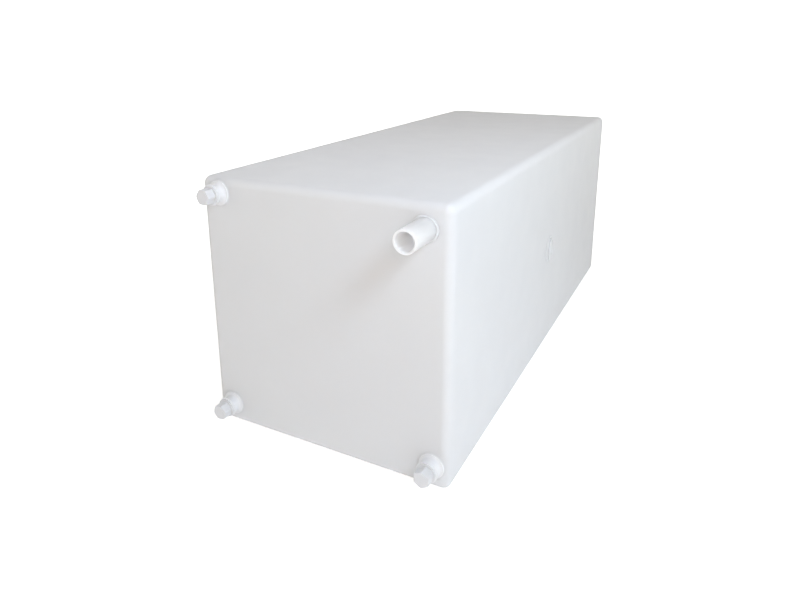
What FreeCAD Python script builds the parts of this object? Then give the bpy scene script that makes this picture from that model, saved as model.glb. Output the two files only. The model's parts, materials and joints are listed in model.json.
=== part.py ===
"""Fresh water tank: a one-piece moulded box with four spin-welded ports on one end.

Frame: millimetres, +Z up, origin at the centre of the tank's bottom face. The ports are
on the -Y end, which is the front. +X is to the right, seen from the front.

Every fitting is drawn along its own +Z, which points out of the tank, with Z = 0 on the
wall's outer face. Its Placement then turns it onto the front end or onto the right side.
"""
import FreeCAD, Part
import os
import Sketcher

OUT_FOLDER = "parts"

# Driving dimensions, in millimetres and degrees.
DIMENSIONS = {
    # moulded box
    "tank_width": 406.4,
    "tank_length": 990.6,
    "tank_height": 406.4,
    "edge_radius": 12.7,
    "wall": 6.35,
    # where the ports sit on the front end
    "fill_from_side": 38.1,
    "fill_from_top": 34.9,
    "vent_from_side": 34.0,
    "vent_from_top": 23.5,
    "outlet_from_side": 31.5,
    "outlet_from_base": 34.1,
    "drain_from_side": 25.4,
    "drain_from_base": 36.3,
    # every welded piece has a nose through the wall and a flange let into its face
    "weld_seat": 2.6,
    "nose_inside": 2.0,
    # fill spout
    "spout_outside": 31.75,
    "spout_bore": 25.4,
    "spout_root": 33.2,
    "spout_taper_end": 17.0,
    "spout_reach": 57.15,
    "spout_flange": 36.0,
    "spout_flange_rise": 1.6,
    "spout_lip_chamfer": 0.6,
    # threaded sockets
    "socket_nose": 26.0,
    "socket_flange": 37.0,
    "socket_flange_rise": 2.5,
    "socket_flare": 4.4,
    "hub": 27.6,
    "hub_rim": 31.6,
    "hub_rim_rise": 2.5,
    "socket_reach": 17.0,
    "small_round": 0.8,
    # 1/2 inch straight pipe thread, 14 turns per inch
    "pitch": 1.814,
    "male_crest": 20.7,
    "male_root": 18.6,
    "female_root": 21.3,
    "female_crest": 19.2,
    "ridge_tip": 0.25,
    "ridge_base": 1.05,
    "groove_tip": 0.62,
    "groove_base": 1.42,
    "thread_overlap": 0.4,
    "male_turns": 6,
    "female_turns": 8,
    # plugs and their gaskets
    "gasket_outside": 28.4,
    "gasket_bore": 21.2,
    "gasket_thickness": 1.2,
    "collar": 28.8,
    "collar_rise": 1.8,
    "shank_length": 13.6,
    "shank_cavity": 11.0,
    "hex_across_flats": 21.4,
    "hex_height": 14.5,
    "hex_chamfer_face": 22.4,
    "hex_chamfer_depth": 1.4,
    "vent_hex_turn": 58,
    "outlet_hex_turn": 12,
    "drain_hex_turn": 27,
    # plug that closes the mould's vent hole
    "blank_nose": 25.4,
    "blank_disc": 53.0,
    "blank_rise": 1.4,
    "blank_recess": 44.0,
    "blank_recess_depth": 1.0,
    "blank_bar_length": 39.0,
    "blank_bar_width": 12.0,
    "blank_bar_rise": 3.0,
}

# Centre of each port on the front end: across, up.
FRONT_PORTS = {
    "fill": ("dims.tank_width / 2 - dims.fill_from_side", "dims.tank_height - dims.fill_from_top"),
    "vent": ("-dims.tank_width / 2 + dims.vent_from_side", "dims.tank_height - dims.vent_from_top"),
    "outlet": ("-dims.tank_width / 2 + dims.outlet_from_side", "dims.outlet_from_base"),
    "drain": ("dims.tank_width / 2 - dims.drain_from_side", "dims.drain_from_base"),
}
SOCKET_PORTS = ("vent", "outlet", "drain")

FACING_FRONT = FreeCAD.Rotation(FreeCAD.Vector(1, 0, 0), 90)
FACING_RIGHT = FreeCAD.Rotation(FreeCAD.Vector(0, 1, 0), 90)

ON_AXIS = "0"
NOSE_END = "-dims.wall - dims.nose_inside"
SOCKET_FACE = "dims.socket_reach"
COLLAR_FOOT = "dims.socket_reach + dims.gasket_thickness"
COLLAR_TOP = COLLAR_FOOT + " + dims.collar_rise"
HEX_TOP = COLLAR_TOP + " + dims.hex_height"


# ---------------------------------------------------------------- helpers

def make_sheet(doc):
    """Fill the spreadsheet, one named cell to a row."""
    sheet = doc.addObject("Spreadsheet::Sheet", "dims")
    for row, (alias, value) in enumerate(DIMENSIONS.items(), start=1):
        sheet.set(f"A{row}", alias)
        sheet.set(f"B{row}", str(value))
        sheet.setAlias(f"B{row}", alias)
    doc.recompute()


def bind(obj, **expressions):
    """Bind properties to expressions over the sheet; a double underscore is a dot."""
    for path, expression in expressions.items():
        obj.setExpression(path.replace("__", "."), expression)


def new_body(doc, label):
    body = doc.addObject("PartDesign::Body", label)
    body.Label = label
    return body


def origin_plane(body, role):
    return next(item for item in body.Origin.OriginFeatures if item.Role == role)


def new_sketch(body, name, role):
    sketch = body.newObject("Sketcher::SketchObject", name)
    sketch.AttachmentSupport = [(origin_plane(body, role), "")]
    sketch.MapMode = "FlatFace"
    return sketch


def outline(sketch, corners):
    """Draw a closed outline whose corners are pairs of expressions over the sheet."""
    places = [[float(sketch.evalExpression(text)) for text in corner] for corner in corners]
    points = [FreeCAD.Vector(across, up, 0) for across, up in places]
    count = len(points)
    for index in range(count):
        sketch.addGeometry(Part.LineSegment(points[index], points[(index + 1) % count]), False)
    for index in range(count):
        sketch.addConstraint(Sketcher.Constraint("Coincident", index, 2, (index + 1) % count, 1))
    for index, corner in enumerate(corners):
        pin_point(sketch, index, "DistanceX", -2, corner[0], points[index].x)
        pin_point(sketch, index, "DistanceY", -1, corner[1], points[index].y)


def pin_point(sketch, line, kind, axis, text, value):
    """Hold a line's first point on an axis, or at a distance from it that follows the sheet."""
    if text == ON_AXIS:
        sketch.addConstraint(Sketcher.Constraint("PointOnObject", line, 1, axis))
        return
    place = sketch.addConstraint(Sketcher.Constraint(kind, -1, 1, line, 1, value))
    sketch.setExpression(f"Constraints[{place}]", text)


def revolve(body, name, corners):
    """Turn a half section, given as radius and height, about the body's Z axis."""
    sketch = new_sketch(body, name + "_section", "XZ_Plane")
    outline(sketch, corners)
    turned = body.newObject("PartDesign::Revolution", name)
    turned.Profile = sketch
    turned.ReferenceAxis = (sketch, ["V_Axis"])
    turned.Angle = 360
    body.Document.recompute()
    return turned


def ring_edges(feature, rings):
    """Names of the full circles of each (diameter, height), both expressions."""
    names = []
    for diameter, height in rings:
        radius = feature.evalExpression(diameter) / 2
        level = feature.evalExpression(height)
        for number, edge in enumerate(feature.Shape.Edges, start=1):
            curve = edge.Curve
            if not isinstance(curve, Part.Circle) or not edge.isClosed():
                continue
            if abs(curve.Radius - radius) < 1e-4 and abs(curve.Center.z - level) < 1e-4:
                names.append(f"Edge{number}")
    if len(names) != len(rings):
        raise ValueError(f"{feature.Name}: {len(names)} ring edges for {len(rings)} rings")
    return names


def dress(body, kind, name, base, rings, size):
    """Round (Fillet) or bevel (Chamfer) circular edges of a feature."""
    feature = body.newObject("PartDesign::" + kind, name)
    feature.Base = (base, ring_edges(base, rings))
    bind(feature, **{"Radius" if kind == "Fillet" else "Size": size})
    body.Document.recompute()
    return feature


def helix(body, kind, name, corners, turns, downward):
    """Add or subtract a right-hand thread of the sheet's pitch."""
    sketch = new_sketch(body, name + "_section", "XZ_Plane")
    outline(sketch, corners)
    thread = body.newObject("PartDesign::" + kind, name)
    thread.Profile = sketch
    thread.ReferenceAxis = (sketch, ["V_Axis"])
    thread.Mode = "pitch-height-angle"
    thread.Reversed = downward
    bind(thread, Pitch="dims.pitch * 1mm", Height=f"dims.pitch * {turns} * 1mm")
    body.Document.recompute()


def thread_section(axis_diameter, far_diameter, axis_width, far_width, middle):
    """Trapezoid between two diameters, centred on a height."""
    return [
        (f"{axis_diameter} / 2", f"{middle} - {axis_width} / 2"),
        (f"{far_diameter} / 2", f"{middle} - {far_width} / 2"),
        (f"{far_diameter} / 2", f"{middle} + {far_width} / 2"),
        (f"{axis_diameter} / 2", f"{middle} + {axis_width} / 2"),
    ]


def rectangle(across, up):
    """Corners of a rectangle of the given sizes, centred on the origin."""
    return [
        (f"-{across} / 2", f"-{up} / 2"),
        (f"{across} / 2", f"-{up} / 2"),
        (f"{across} / 2", f"{up} / 2"),
        (f"-{across} / 2", f"{up} / 2"),
    ]


def place_on_front(obj, port, lift="0"):
    """Turn an object to face forwards with its Z = 0 on the front wall, or set deeper."""
    obj.Placement = FreeCAD.Placement(FreeCAD.Vector(0, 0, 0), FACING_FRONT)
    across, up = FRONT_PORTS[port]
    bind(
        obj,
        Placement__Base__x=across,
        Placement__Base__y=f"-dims.tank_length / 2 - ({lift})",
        Placement__Base__z=up,
    )


def place_on_right(obj, lift="0"):
    """Turn an object to face right at the middle of the right-hand wall."""
    obj.Placement = FreeCAD.Placement(FreeCAD.Vector(0, 0, 0), FACING_RIGHT)
    bind(
        obj,
        Placement__Base__x=f"dims.tank_width / 2 + ({lift})",
        Placement__Base__z="dims.tank_height / 2",
    )


# ---------------------------------------------------------------- moulded box

def rounded_box(doc, name, inset):
    """A block with every edge rounded, smaller than the tank by the inset all round."""
    body = new_body(doc, name)
    sketch = new_sketch(body, name + "_plan", "XY_Plane")
    outline(sketch, rectangle(f"(dims.tank_width - 2 * {inset})", f"(dims.tank_length - 2 * {inset})"))
    pad = body.newObject("PartDesign::Pad", name + "_block")
    pad.Profile = sketch
    bind(pad, Length=f"dims.tank_height - 2 * {inset}")
    doc.recompute()
    rounding = body.newObject("PartDesign::Fillet", name + "_edges")
    rounding.Base = (pad, [f"Edge{number}" for number in range(1, len(pad.Shape.Edges) + 1)])
    bind(rounding, Radius=f"dims.edge_radius - {inset}")
    bind(body, Placement__Base__z=inset)
    return body


def drill(doc, name, diameter, depth, place):
    """A cylinder that runs from a depth inside the wall to well outside it."""
    clear = "5"
    tool = doc.addObject("Part::Cylinder", name)
    bind(tool, Radius=f"{diameter} / 2", Height=f"{depth} + {clear}")
    place(tool, f"-({depth})")
    return tool


def make_shell(doc):
    """The hollow box, with a hole and a shallow flange seat for every welded piece."""
    outside = rounded_box(doc, "shell_outside", "0")
    inside = rounded_box(doc, "shell_inside", "dims.wall")
    hollow = doc.addObject("Part::Cut", "hollow_box")
    hollow.Base = outside
    hollow.Tool = inside
    through = "2 * dims.wall"
    tools = []
    for port in FRONT_PORTS:
        nose, flange = "dims.socket_nose", "dims.socket_flange"
        if port == "fill":
            nose, flange = "dims.spout_outside", "dims.spout_flange"

        def on_front(tool, lift, port=port):
            place_on_front(tool, port, lift)

        tools.append(drill(doc, port + "_hole", nose, through, on_front))
        tools.append(drill(doc, port + "_seat", flange, "dims.weld_seat", on_front))
    tools.append(drill(doc, "blank_hole", "dims.blank_nose", through, place_on_right))
    tools.append(drill(doc, "blank_seat", "dims.blank_disc", "dims.weld_seat", place_on_right))
    drilling = doc.addObject("Part::MultiFuse", "drilling")
    drilling.Shapes = tools
    shell = doc.addObject("Part::Cut", "tank_shell")
    shell.Base = hollow
    shell.Tool = drilling
    shell.Label = "tank_shell"
    return shell


# ---------------------------------------------------------------- fittings

def make_fill_spout(doc):
    """Plain tube that a filling hose is clamped over."""
    body = new_body(doc, "fill_spout")
    tube = revolve(body, "tube", [
        ("dims.spout_bore / 2", NOSE_END),
        ("dims.spout_outside / 2", NOSE_END),
        ("dims.spout_outside / 2", "-dims.weld_seat"),
        ("dims.spout_flange / 2", "-dims.weld_seat"),
        ("dims.spout_flange / 2", "dims.spout_flange_rise"),
        ("dims.spout_root / 2", "dims.spout_flange_rise"),
        ("dims.spout_outside / 2", "dims.spout_taper_end"),
        ("dims.spout_outside / 2", "dims.spout_reach"),
        ("dims.spout_bore / 2", "dims.spout_reach"),
    ])
    lip = [("dims.spout_outside", "dims.spout_reach"), ("dims.spout_bore", "dims.spout_reach")]
    bevel = dress(body, "Chamfer", "lip", tube, lip, "dims.spout_lip_chamfer")
    flange_edge = [("dims.spout_flange", "dims.spout_flange_rise")]
    body.Tip = dress(body, "Fillet", "flange_edge", bevel, flange_edge, "dims.small_round")
    place_on_front(body, "fill")
    return body


def make_socket(doc, port):
    """Threaded socket: nose, flange, flared hub, rim and thread."""
    body = new_body(doc, port + "_socket")
    turned = revolve(body, "hub_and_flange", [
        ("dims.female_crest / 2", NOSE_END),
        ("dims.socket_nose / 2", NOSE_END),
        ("dims.socket_nose / 2", "-dims.weld_seat"),
        ("dims.socket_flange / 2", "-dims.weld_seat"),
        ("dims.socket_flange / 2", "dims.socket_flange_rise"),
        ("dims.hub / 2", "dims.socket_flange_rise"),
        ("dims.hub / 2", "dims.socket_reach - dims.hub_rim_rise"),
        ("dims.hub_rim / 2", "dims.socket_reach - dims.hub_rim_rise"),
        ("dims.hub_rim / 2", SOCKET_FACE),
        ("dims.female_crest / 2", SOCKET_FACE),
    ])
    foot = [("dims.hub", "dims.socket_flange_rise")]
    flare = dress(body, "Fillet", "flare", turned, foot, "dims.socket_flare")
    rims = [
        ("dims.socket_flange", "dims.socket_flange_rise"),
        ("dims.hub_rim", "dims.socket_reach - dims.hub_rim_rise"),
        ("dims.hub_rim", SOCKET_FACE),
    ]
    dress(body, "Fillet", "rim_edges", flare, rims, "dims.small_round")
    section = thread_section(
        "(dims.female_crest - dims.thread_overlap)", "dims.female_root",
        "dims.groove_base", "dims.groove_tip", "(dims.socket_reach + dims.pitch / 2)")
    helix(body, "SubtractiveHelix", "thread", section, "dims.female_turns", downward=True)
    place_on_front(body, port)
    return body


def make_plug(doc, port):
    """Hexagon-headed plug with a round collar and a hollow threaded shank."""
    body = new_body(doc, port + "_plug")
    shank_end = COLLAR_FOOT + " - dims.shank_length"
    revolve(body, "shank_and_collar", [
        ("dims.shank_cavity / 2", shank_end),
        ("dims.male_root / 2", shank_end),
        ("dims.male_root / 2", COLLAR_FOOT),
        ("dims.collar / 2", COLLAR_FOOT),
        ("dims.collar / 2", COLLAR_TOP),
        (ON_AXIS, COLLAR_TOP),
        (ON_AXIS, COLLAR_FOOT),
        ("dims.shank_cavity / 2", COLLAR_FOOT),
    ])
    head = body.newObject("PartDesign::AdditivePrism", "head")
    head.AttachmentSupport = [(origin_plane(body, "XY_Plane"), "")]
    head.MapMode = "FlatFace"
    head.Polygon = 6
    head.AttachmentOffset = FreeCAD.Placement(
        FreeCAD.Vector(0, 0, 0), FreeCAD.Rotation(FreeCAD.Vector(0, 0, 1), 1))
    bind(
        head,
        Circumradius="dims.hex_across_flats / sqrt(3) * 1mm",
        Height="dims.hex_height * 1mm",
        AttachmentOffset__Base__z=COLLAR_TOP,
        AttachmentOffset__Rotation__Angle=f"dims.{port}_hex_turn",
    )
    doc.recompute()
    bevel_hexagon(body)
    section = thread_section(
        "(dims.male_root - dims.thread_overlap)", "dims.male_crest",
        "dims.ridge_base", "dims.ridge_tip", "(dims.socket_reach - dims.pitch / 2)")
    helix(body, "AdditiveHelix", "thread", section, "dims.male_turns", downward=True)
    place_on_front(body, port)
    return body


def bevel_hexagon(body):
    """Turned bevel that takes the corners off the outer end of the head."""
    sketch = new_sketch(body, "head_bevel_section", "XZ_Plane")
    outline(sketch, [
        ("dims.hex_chamfer_face / 2", HEX_TOP),
        ("dims.collar / 2", HEX_TOP + " - dims.hex_chamfer_depth * 2"),
        ("dims.collar / 2", HEX_TOP + " + 1"),
        ("dims.hex_chamfer_face / 2", HEX_TOP + " + 1"),
    ])
    groove = body.newObject("PartDesign::Groove", "head_bevel")
    groove.Profile = sketch
    groove.ReferenceAxis = (sketch, ["V_Axis"])
    groove.Angle = 360
    body.Document.recompute()


def make_gasket(doc, port):
    """Flat ring between the socket's rim and the plug's collar."""
    body = new_body(doc, port + "_gasket")
    revolve(body, "ring", [
        ("dims.gasket_bore / 2", SOCKET_FACE),
        ("dims.gasket_outside / 2", SOCKET_FACE),
        ("dims.gasket_outside / 2", COLLAR_FOOT),
        ("dims.gasket_bore / 2", COLLAR_FOOT),
    ])
    place_on_front(body, port)
    return body


def make_vent_hole_blank(doc):
    """Blind disc, with a recess and a driving bar, welded over the mould's vent hole."""
    body = new_body(doc, "vent_hole_blank")
    recess_floor = "dims.blank_rise - dims.blank_recess_depth"
    disc = revolve(body, "disc", [
        (ON_AXIS, NOSE_END),
        ("dims.blank_nose / 2", NOSE_END),
        ("dims.blank_nose / 2", "-dims.weld_seat"),
        ("dims.blank_disc / 2", "-dims.weld_seat"),
        ("dims.blank_disc / 2", "dims.blank_rise"),
        ("dims.blank_recess / 2", "dims.blank_rise"),
        ("dims.blank_recess / 2", recess_floor),
        (ON_AXIS, recess_floor),
    ])
    edge = [("dims.blank_disc", "dims.blank_rise")]
    dress(body, "Fillet", "disc_edge", disc, edge, "dims.small_round")
    sketch = new_sketch(body, "bar_plan", "XY_Plane")
    outline(sketch, rectangle("dims.blank_bar_length", "dims.blank_bar_width"))
    bar = body.newObject("PartDesign::Pad", "bar")
    bar.Profile = sketch
    bind(bar, Length="dims.blank_bar_rise")
    doc.recompute()
    place_on_right(body)
    return body


# ---------------------------------------------------------------- checks and files

def check_document(doc):
    """Stop if any object of the document failed to build."""
    for obj in doc.Objects:
        failed = {"Invalid", "Error"} & set(obj.State)
        if failed:
            raise RuntimeError(f"{obj.Name}: {failed}")


def check_part(obj):
    """Stop if a sub-part isn't one valid solid."""
    shape = obj.Shape
    if shape.isNull() or not shape.isValid() or len(shape.Solids) != 1:
        raise RuntimeError(f"{obj.Label}: not one valid solid")


def main():
    doc = FreeCAD.newDocument("fresh_water_tank")
    make_sheet(doc)
    parts = [make_shell(doc), make_fill_spout(doc), make_vent_hole_blank(doc)]
    for port in SOCKET_PORTS:
        parts += [make_socket(doc, port), make_gasket(doc, port), make_plug(doc, port)]
    doc.recompute()
    check_document(doc)
    for obj in parts:
        check_part(obj)
    os.makedirs(OUT_FOLDER, exist_ok=True)
    for obj in parts:
        obj.Shape.exportStep(f"{OUT_FOLDER}/{obj.Label}.step")
        box = obj.Shape.BoundBox
        print(f"{obj.Label}: {obj.Shape.Volume:.0f} mm3, y {box.YMin:.2f} to {box.YMax:.2f}")


main()
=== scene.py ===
"""Fresh water tank: materials, weld rings, stage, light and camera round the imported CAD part.

Metres, +Z up, origin at the centre of the tank's bottom face, ports on the -Y end.
"""
import json
import math

import bmesh
import bpy
from mathutils import Matrix, Vector


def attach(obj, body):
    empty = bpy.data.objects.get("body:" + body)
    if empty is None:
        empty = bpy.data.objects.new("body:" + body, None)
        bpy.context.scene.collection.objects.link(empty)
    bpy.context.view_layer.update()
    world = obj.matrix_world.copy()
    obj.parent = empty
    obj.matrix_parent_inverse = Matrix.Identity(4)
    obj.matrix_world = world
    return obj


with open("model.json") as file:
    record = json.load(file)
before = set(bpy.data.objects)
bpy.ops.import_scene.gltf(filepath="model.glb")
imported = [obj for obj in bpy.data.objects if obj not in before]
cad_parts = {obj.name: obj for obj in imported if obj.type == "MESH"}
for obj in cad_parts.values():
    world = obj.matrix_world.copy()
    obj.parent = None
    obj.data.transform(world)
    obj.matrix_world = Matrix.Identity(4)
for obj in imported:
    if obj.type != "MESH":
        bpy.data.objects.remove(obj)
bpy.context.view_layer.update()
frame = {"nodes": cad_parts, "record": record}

nodes = frame["nodes"]


# ---------------------------------------------------------------- materials

SHEEN_FINENESS, WAVE_FINENESS = 4, 3    # cells of sheen and of waves to one cell of clouding


def node(tree, kind, **settings):
    made = tree.nodes.new(kind)
    for name, value in settings.items():
        setattr(made, name, value)
    return made


def noise(tree, coords, scale, detail, roughness=0.5):
    """Noise in metres: scale is cells per metre."""
    texture = node(tree, "ShaderNodeTexNoise")
    texture.inputs["Scale"].default_value = scale
    texture.inputs["Detail"].default_value = detail
    texture.inputs["Roughness"].default_value = roughness
    tree.links.new(coords, texture.inputs["Vector"])
    return texture.outputs["Fac"]


def spread(tree, value, low, high, start=0.3, end=0.7):
    """Map a value between start and end onto a range; noise lies mostly between 0.3 and 0.7."""
    mapped = node(tree, "ShaderNodeMapRange")
    mapped.inputs["From Min"].default_value = start
    mapped.inputs["From Max"].default_value = end
    mapped.inputs["To Min"].default_value = low
    mapped.inputs["To Max"].default_value = high
    tree.links.new(value, mapped.inputs["Value"])
    return mapped.outputs["Result"]


def blend(tree, factor, first, second):
    """Mix two colours by a value from 0 to 1."""
    mix = node(tree, "ShaderNodeMix", data_type="RGBA")
    colours = [socket for socket in mix.inputs if socket.type == "RGBA"]
    for socket, colour in zip(colours, (first, second)):
        socket.default_value = (*colour, 1)
    tree.links.new(factor, mix.inputs[0])
    return next(socket for socket in mix.outputs if socket.type == "RGBA")


def bump(tree, height, distance, before=None):
    """Surface relief of a depth in metres, on top of an earlier one if given."""
    made = node(tree, "ShaderNodeBump")
    made.inputs["Distance"].default_value = distance
    made.inputs["Strength"].default_value = 1.0
    tree.links.new(height, made.inputs["Height"])
    if before is not None:
        tree.links.new(before, made.inputs["Normal"])
    return made.outputs["Normal"]


def plastic(name, light, dark, tone_scale, roughness, grain_scale, grain_depth, wave_depth,
            subsurface=0.0, radius=(0.0, 0.0, 0.0)):
    """Natural moulded plastic: clouded tone, uneven sheen and two scales of surface relief.

    Scales are cells per metre, depths and the light's travel under the surface are metres.
    """
    material = bpy.data.materials.new(name)
    material.use_nodes = True
    tree = material.node_tree
    shader = tree.nodes["Principled BSDF"]
    coords = node(tree, "ShaderNodeTexCoord").outputs["Object"]
    cloud = noise(tree, coords, tone_scale, detail=3)
    colour = blend(tree, spread(tree, cloud, 0, 1), light, dark)
    tree.links.new(colour, shader.inputs["Base Color"])
    sheen = noise(tree, coords, tone_scale * SHEEN_FINENESS, detail=4)
    tree.links.new(spread(tree, sheen, *roughness), shader.inputs["Roughness"])
    wave = noise(tree, coords, tone_scale * WAVE_FINENESS, detail=1)
    grain = noise(tree, coords, grain_scale, detail=3, roughness=0.6)
    rippled = bump(tree, wave, wave_depth)
    tree.links.new(bump(tree, grain, grain_depth, rippled), shader.inputs["Normal"])
    shader.inputs["Specular IOR Level"].default_value = 0.5
    shader.inputs["IOR"].default_value = 1.5
    shader.inputs["Subsurface Weight"].default_value = subsurface
    shader.inputs["Subsurface Radius"].default_value = radius
    shader.inputs["Subsurface Scale"].default_value = 1.0
    return material


TANK_PE = plastic(
    "tank_polyethylene", light=(0.705, 0.71, 0.71), dark=(0.69, 0.695, 0.70),
    tone_scale=5.0, roughness=(0.40, 0.50),
    grain_scale=420, grain_depth=0.00004, wave_depth=0.0004,
    subsurface=0.6, radius=(0.006, 0.006, 0.006))
# no light under the surface: it would be lost in so thin a ring
WELD_PE = plastic(
    "weld_polyethylene", light=(0.665, 0.67, 0.675), dark=(0.65, 0.655, 0.66),
    tone_scale=60.0, roughness=(0.35, 0.50),
    grain_scale=900, grain_depth=0.00002, wave_depth=0.0001)
# paler than the tank's plastic: partly for light lost under the surface, partly painted light that
# offsets the shade the fittings cast on their own hubs and grooves
FITTING_PE = plastic(
    "fitting_polyethylene", light=(0.785, 0.79, 0.80), dark=(0.77, 0.775, 0.785),
    tone_scale=40.0, roughness=(0.30, 0.40),
    grain_scale=1500, grain_depth=0.00001, wave_depth=0.00003,
    subsurface=0.35, radius=(0.003, 0.003, 0.0035))
SPOUT_PE = plastic(
    "spout_polyethylene", light=(0.985, 0.988, 0.995), dark=(0.978, 0.982, 0.99),
    tone_scale=25.0, roughness=(0.32, 0.42),
    grain_scale=1200, grain_depth=0.00001, wave_depth=0.00004,
    subsurface=1.0, radius=(0.024, 0.024, 0.025))
PLUG_PP = plastic(
    "plug_polypropylene", light=(0.705, 0.71, 0.72), dark=(0.69, 0.695, 0.705),
    tone_scale=50.0, roughness=(0.30, 0.38),
    grain_scale=1800, grain_depth=0.00001, wave_depth=0.00002,
    subsurface=0.4, radius=(0.003, 0.003, 0.0035))
# white silicone, made paler still as painted light that offsets the shade in the groove between the
# socket's rim and the plug's head
GASKET_SILICONE = plastic(
    "gasket_silicone", light=(0.86, 0.865, 0.875), dark=(0.84, 0.845, 0.855),
    tone_scale=80.0, roughness=(0.5, 0.6),
    grain_scale=2500, grain_depth=0.00001, wave_depth=0.00001,
    subsurface=0.3, radius=(0.002, 0.002, 0.002))

SLOT_MATERIALS = {
    "tank_wall": TANK_PE,
    "fittings": FITTING_PE,
    "plugs": PLUG_PP,
    "gaskets": GASKET_SILICONE,
}
THIN_NODES = {"fill_spout": SPOUT_PE}    # light comes through its wall


def dress_cad_nodes():
    """Give every CAD node the material of its slot in the record, and thin ones a clearer one."""
    for row in frame["record"]["subparts"]:
        name = row["node"]
        for slot in nodes[name].material_slots:
            slot.material = THIN_NODES.get(name, SLOT_MATERIALS[row["material_slot"]])


# ---------------------------------------------------------------- weld rings

EDGE_RADIUS = 0.0127                    # of the tank's rounded edges
SLOW_WAVES, FAST_WAVES = 3, 7           # in one turn of a weld ring
SLOW_SWELL, FAST_SWELL = 0.14, 0.09     # what they add to its width, as shares of it
RING_TURNS, RING_STEPS = 144, 9         # facets round a ring and points across its section
RING_UNDER = 0.0006                     # how far a ring reaches under the wall and the flange


def box_of(obj):
    """Lowest and highest corner of an object in the world."""
    corners = [obj.matrix_world @ Vector(corner) for corner in obj.bound_box]
    lowest = Vector(min(corner[axis] for corner in corners) for axis in range(3))
    highest = Vector(max(corner[axis] for corner in corners) for axis in range(3))
    return lowest, highest


def front_wall(across, up):
    """How far back the front wall's face is, with its rounded edges, at a place on it."""
    lowest, highest = box_of(nodes["tank_shell"])
    past_side = max(lowest.x + EDGE_RADIUS - across, across - highest.x + EDGE_RADIUS, 0)
    past_edge = max(lowest.z + EDGE_RADIUS - up, up - highest.z + EDGE_RADIUS, 0)
    past = min(math.hypot(past_side, past_edge), EDGE_RADIUS)
    return lowest.y + EDGE_RADIUS - math.sqrt(EDGE_RADIUS ** 2 - past ** 2)


def swell_at(turn, phase):
    """A weld ring's width at a place round it, as a share of its mean width."""
    slow = SLOW_SWELL * math.sin(SLOW_WAVES * turn + phase)
    fast = FAST_SWELL * math.sin(FAST_WAVES * turn + 2 * phase)
    return 1 + slow + fast


def ring_section(inner, width, height, hollow):
    """Points across a weld ring, as radius and rise from the wall: a quarter round, hollow or full."""
    section = [(inner - RING_UNDER, -RING_UNDER)]
    for step in range(RING_STEPS):
        slope = math.radians(90 * step / (RING_STEPS - 1))
        if hollow:
            out, rise = 1 - math.cos(slope), 1 - math.sin(slope)
        else:
            out, rise = math.sin(slope), math.cos(slope)
        section.append((inner - RING_UNDER / 2 + width * out, height * rise))
    section.append((section[-1][0], -RING_UNDER))
    return section


def add_weld_ring(fitting, inset, width, height, hollow, phase):
    """The uneven ring of melted plastic round a welded fitting, inset from its flange's edge."""
    lowest, highest = box_of(nodes[fitting])
    middle = (lowest + highest) / 2
    inner = (highest.x - lowest.x) / 2 - inset
    shape = bmesh.new()
    rings = []
    for number in range(RING_TURNS):
        turn = math.tau * number / RING_TURNS
        ring = []
        for radius, rise in ring_section(inner, width * swell_at(turn, phase), height, hollow):
            across = middle.x + radius * math.cos(turn)
            up = middle.z + radius * math.sin(turn)
            ring.append(shape.verts.new((across, front_wall(across, up) - rise, up)))
        rings.append(ring)
    corners = len(rings[0])
    for number, ring in enumerate(rings):
        following = rings[(number + 1) % RING_TURNS]
        for step in range(corners):
            after = (step + 1) % corners
            face = shape.faces.new((ring[step], ring[after], following[after], following[step]))
            face.smooth = 1 <= step < RING_STEPS
    bmesh.ops.recalc_face_normals(shape, faces=shape.faces[:])
    mesh = bpy.data.meshes.new(fitting + "_weld_ring")
    shape.to_mesh(mesh)
    shape.free()
    mesh.materials.append(WELD_PE)
    welded = bpy.data.objects.new(fitting + "_weld_ring", mesh)
    bpy.context.scene.collection.objects.link(welded)
    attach(welded, "tank")


# ---------------------------------------------------------------- stage, light, camera

FLOOR_RADIUS, SWEEP, WALL_TOP = 4.5, 2.0, 3.6
FLOOR_GAP = 0.001        # from the floor that the camera sees down to the one that lights the tank
BOWL_TURNS, SWEEP_STEPS = 96, 16
FLOOR_LIGHT, FLOOR_DARK = (0.95, 0.95, 0.95), (0.94, 0.94, 0.94)
SENSOR_WIDTH, FOCAL_LENGTH = 36, 28.57    # millimetres
SHIFT_X, SHIFT_Y = 0.0178, -0.1104
CAMERA_PLACE = (0.4798, -1.1804, 0.5995)
CAMERA_RIGHT = (0.88112, 0.47282, -0.00820)
CAMERA_FORWARD = (-0.45818, 0.84929, -0.26226)


def glowing_white(name, near_glow, far_glow, near, far):
    """Matt white whose glow rises between two distances from the middle of the floor."""
    material = bpy.data.materials.new(name)
    material.use_nodes = True
    tree = material.node_tree
    shader = tree.nodes["Principled BSDF"]
    coords = node(tree, "ShaderNodeTexCoord").outputs["Object"]
    tone = spread(tree, noise(tree, coords, scale=1.5, detail=2), 0, 1)
    tree.links.new(blend(tree, tone, FLOOR_LIGHT, FLOOR_DARK), shader.inputs["Base Color"])
    shader.inputs["Roughness"].default_value = 0.9
    shader.inputs["Specular IOR Level"].default_value = 0.1
    shader.inputs["Emission Color"].default_value = (1, 1, 1, 1)
    distance = node(tree, "ShaderNodeVectorMath", operation="LENGTH")
    tree.links.new(coords, distance.inputs[0])
    glow = spread(tree, distance.outputs["Value"], near_glow, far_glow, near, far)
    tree.links.new(glow, shader.inputs["Emission Strength"])
    return material


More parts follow.
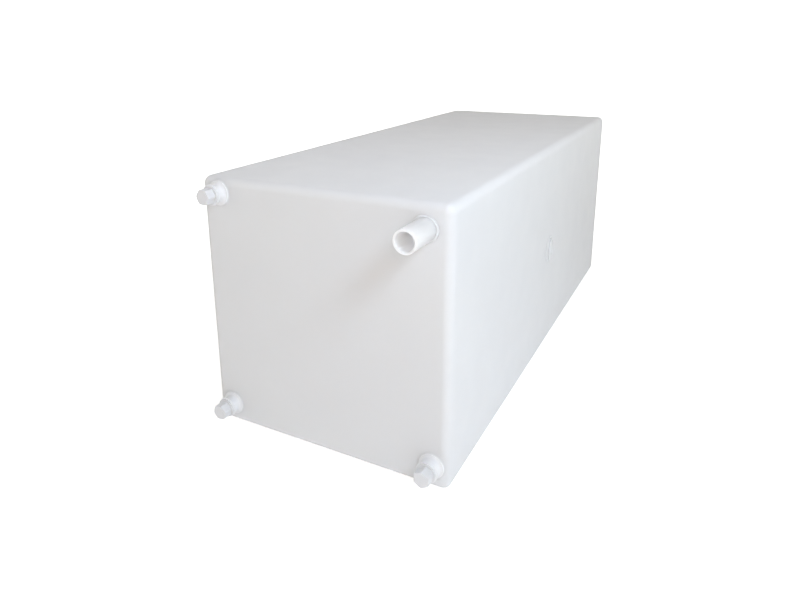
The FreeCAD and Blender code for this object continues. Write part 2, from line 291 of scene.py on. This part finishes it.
def add_bowl(name, height, material):
    """Round floor that sweeps up into a wall, as a studio backdrop does, well clear of every camera."""
    profile = [(FLOOR_RADIUS, 0.0)]
    for step in range(1, SWEEP_STEPS + 1):
        angle = math.radians(90 * step / SWEEP_STEPS)
        profile.append((FLOOR_RADIUS + SWEEP * math.sin(angle), SWEEP * (1 - math.cos(angle))))
    profile.append((FLOOR_RADIUS + SWEEP, WALL_TOP))
    shape = bmesh.new()
    directions = [math.tau * number / BOWL_TURNS for number in range(BOWL_TURNS)]
    rings = [[shape.verts.new((radius * math.cos(turn), radius * math.sin(turn), level))
              for turn in directions]
             for radius, level in profile]
    shape.faces.new(rings[0])
    for lower, upper in zip(rings, rings[1:]):
        for number in range(BOWL_TURNS):
            following = (number + 1) % BOWL_TURNS
            face = shape.faces.new((lower[number], lower[following], upper[following], upper[number]))
            face.smooth = True
    mesh = bpy.data.meshes.new(name)
    shape.to_mesh(mesh)
    shape.free()
    mesh.materials.append(material)
    bowl = bpy.data.objects.new(name, mesh)
    bowl.location.z = height
    bpy.context.scene.collection.objects.link(bowl)
    return bowl


def add_backdrop():
    """A white floor and wall for the camera, and dimmer ones just under them that light the tank."""
    seen_white = glowing_white("floor_white", near_glow=0.62, far_glow=1.0, near=0.5, far=1.3)
    seen = add_bowl("floor", 0.0, seen_white)
    seen.visible_diffuse = False
    seen.visible_glossy = False
    seen.visible_transmission = False
    seen.visible_shadow = False
    bounce_white = glowing_white("bounce_white", near_glow=0.11, far_glow=0.48, near=0.7, far=2.6)
    bounce = add_bowl("floor_bounce", -FLOOR_GAP, bounce_white)
    bounce.visible_camera = False


def add_area(name, place, aim, size, power, colour):
    """A round lamp that the camera doesn't see."""
    data = bpy.data.lights.new(name, "AREA")
    data.shape = "DISK"
    data.size = size
    data.energy = power
    data.color = colour
    lamp = bpy.data.objects.new(name, data)
    lamp.location = place
    lamp.rotation_euler = (Vector(aim) - Vector(place)).to_track_quat("-Z", "Y").to_euler()
    lamp.visible_camera = False
    bpy.context.scene.collection.objects.link(lamp)


def add_sky(colour, strength):
    """Weak even light from all round, which the shadows keep their warm tone from."""
    world = bpy.data.worlds.new("studio")
    world.use_nodes = True
    background = world.node_tree.nodes["Background"]
    background.inputs["Color"].default_value = (*colour, 1)
    background.inputs["Strength"].default_value = strength
    bpy.context.scene.world = world


def add_camera():
    """The photograph's camera, as fitted to the outline of the tank."""
    data = bpy.data.cameras.new("camera")
    data.sensor_width = SENSOR_WIDTH
    data.lens = FOCAL_LENGTH
    data.shift_x = SHIFT_X
    data.shift_y = SHIFT_Y
    camera = bpy.data.objects.new("camera", data)
    right = Vector(CAMERA_RIGHT).normalized()
    forward = Vector(CAMERA_FORWARD).normalized()
    up = right.cross(forward)
    turn = Matrix((right, up, -forward)).transposed()
    camera.matrix_world = Matrix.Translation(CAMERA_PLACE) @ turn.to_4x4()
    bpy.context.scene.collection.objects.link(camera)
    bpy.context.scene.camera = camera


# each lamp's place, aim, width, power and colour
AREAS = {
    "key": ((1.0, -0.9, 1.2), (0.2, -0.4, 0.3), 0.4, 10.2, (0.66, 0.83, 1.0)),
    "front": ((0.9, -1.7, 0.9), (0.1, -0.4, 0.2), 0.6, 3.4, (1.0, 0.66, 0.53)),
    "top": ((0.2, -0.4, 1.8), (0.1, -0.2, 0.3), 0.8, 7.4, (0.98, 0.93, 1.0)),
}
SOCKET_PHASES = {"vent_socket": 1.3, "outlet_socket": 2.9, "drain_socket": 4.6}

dress_cad_nodes()
add_weld_ring("fill_spout", inset=0.0013, width=0.0025, height=0.0020, hollow=False, phase=0.4)
for socket, phase in SOCKET_PHASES.items():
    add_weld_ring(socket, inset=0.0, width=0.0030, height=0.0018, hollow=True, phase=phase)
add_backdrop()
for name, (place, aim, size, power, colour) in AREAS.items():
    add_area(name, place, aim, size, power, colour)
add_sky(colour=(1.0, 0.94, 0.78), strength=0.19)
add_camera()
bpy.context.scene.view_settings.view_transform = "Standard"
